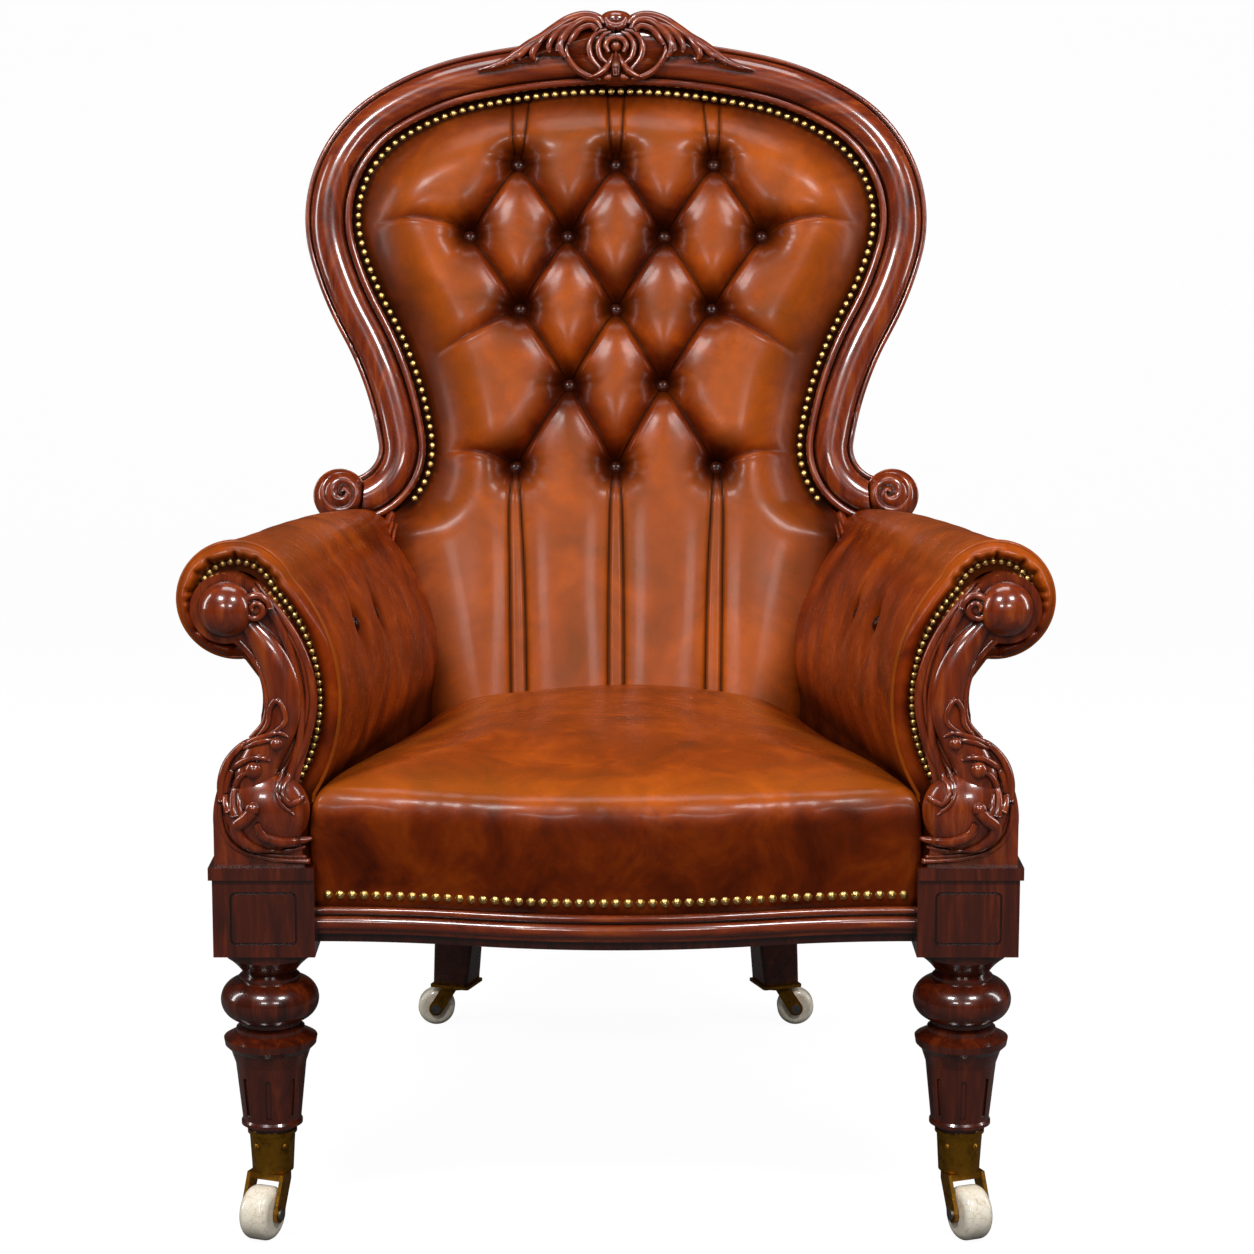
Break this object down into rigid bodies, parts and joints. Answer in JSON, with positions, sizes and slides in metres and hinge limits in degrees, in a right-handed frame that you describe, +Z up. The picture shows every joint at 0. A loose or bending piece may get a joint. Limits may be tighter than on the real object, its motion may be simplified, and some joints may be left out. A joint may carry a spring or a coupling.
{
  "type": "armchair on castors",
  "caption": "Deep-buttoned leather armchair with a raked, waisted back in a carved show-wood frame, scrolled arms, turned fluted front legs and splayed rear legs on brass castors.",
  "frame": {"origin": "on the floor, at the middle of the chair's outline", "axes": "+Z up, -Y towards the front, +X to the right as seen from the front"},
  "size_m": [0.7498, 0.7653, 1.076],
  "materials": {
    "show_wood": "French-polished mahogany",
    "frame_wood": "planed beech, unfinished",
    "tan_leather": "semi-gloss antiqued hide",
    "dark_leather": "glossy covered buttons",
    "jute": "woven jute",
    "canvas": "plain hessian",
    "black_cloth": "plain cotton",
    "spring_steel": "coppered wire",
    "steel_pin": "riveted pin",
    "cream_ceramic": "crazed cream glaze",
    "aged_brass": "aged, lightly polished"
  },
  "bodies": {
    "chair": {"arm_boss_left": "show_wood", "arm_boss_right": "show_wood", "arm_facing_left": "show_wood", "arm_facing_right": "show_wood", "arm_knee_carving_left": "show_wood", "arm_knee_carving_right": "show_wood", "arm_nails": "aged_brass", "arm_pad_left": "tan_leather", "arm_pad_right": "tan_leather", "arm_rail_left": "frame_wood", "arm_rail_right": "frame_wood", "arm_stump_left": "frame_wood", "arm_stump_right": "frame_wood", "back_nails": "aged_brass", "back_pad": "tan_leather", "back_seat_rail": "frame_wood", "back_stile_left": "show_wood", "back_stile_right": "show_wood", "back_upright_left": "frame_wood", "back_upright_right": "frame_wood", "castor_cups_front": "aged_brass", "castor_plates_rear": "aged_brass", "castor_screws": "aged_brass", "corner_blocks": "frame_wood", "crest_carving": "show_wood", "crest_finial": "show_wood", "crest_rail": "show_wood", "dust_cover": "black_cloth", "front_leg_left": "show_wood", "front_leg_right": "show_wood", "front_rail_moulding": "show_wood", "front_seat_rail": "frame_wood", "leather_buttons": "dark_leather", "outside_arm_left": "tan_leather", "outside_arm_right": "tan_leather", "outside_back_panel": "tan_leather", "rail_nails": "aged_brass", "rear_leg_left": "show_wood", "rear_leg_right": "show_wood", "seat_pad": "tan_leather", "seat_springs": "spring_steel", "seat_webbing": "jute", "side_seat_rail_left": "frame_wood", "side_seat_rail_right": "frame_wood", "spring_canvas": "canvas", "stile_volute_left": "show_wood", "stile_volute_right": "show_wood"},
    "fork_front_right": {"castor_fork_front_right": "aged_brass", "castor_axle_front_right": "steel_pin"},
    "wheel_front_right": {"castor_wheel_front_right": "cream_ceramic"},
    "fork_front_left": {"castor_fork_front_left": "aged_brass", "castor_axle_front_left": "steel_pin"},
    "wheel_front_left": {"castor_wheel_front_left": "cream_ceramic"},
    "fork_rear_right": {"castor_fork_rear_right": "aged_brass", "castor_axle_rear_right": "steel_pin"},
    "wheel_rear_right": {"castor_wheel_rear_right": "cream_ceramic"},
    "fork_rear_left": {"castor_fork_rear_left": "aged_brass", "castor_axle_rear_left": "steel_pin"},
    "wheel_rear_left": {"castor_wheel_rear_left": "cream_ceramic"}
  },
  "joints": [
    {"name": "castor_swivel_front_right", "type": "hinge", "parent": "chair", "child": "fork_front_right", "pos_m": [0.304, -0.322, 0.05], "axis": [0, 0, 1], "continuous": true},
    {"name": "castor_roll_front_right", "type": "hinge", "parent": "fork_front_right", "child": "wheel_front_right", "pos_m": [0.31198, -0.34196, 0.024], "axis": [0.9285, 0.3714, 0], "continuous": true},
    {"name": "castor_swivel_front_left", "type": "hinge", "parent": "chair", "child": "fork_front_left", "pos_m": [-0.304, -0.322, 0.05], "axis": [0, 0, 1], "continuous": true},
    {"name": "castor_roll_front_left", "type": "hinge", "parent": "fork_front_left", "child": "wheel_front_left", "pos_m": [-0.31198, -0.34196, 0.024], "axis": [0.9285, -0.3714, 0], "continuous": true},
    {"name": "castor_swivel_rear_right", "type": "hinge", "parent": "chair", "child": "fork_rear_right", "pos_m": [0.172, 0.318, 0.05], "axis": [0, 0, 1], "continuous": true},
    {"name": "castor_roll_rear_right", "type": "hinge", "parent": "fork_rear_right", "child": "wheel_rear_right", "pos_m": [0.1935, 0.318, 0.0195], "axis": [0, 1, 0], "continuous": true},
    {"name": "castor_swivel_rear_left", "type": "hinge", "parent": "chair", "child": "fork_rear_left", "pos_m": [-0.172, 0.318, 0.05], "axis": [0, 0, 1], "continuous": true},
    {"name": "castor_roll_rear_left", "type": "hinge", "parent": "fork_rear_left", "child": "wheel_rear_left", "pos_m": [-0.1935, 0.318, 0.0195], "axis": [0, -1, 0], "continuous": true}
  ]
}
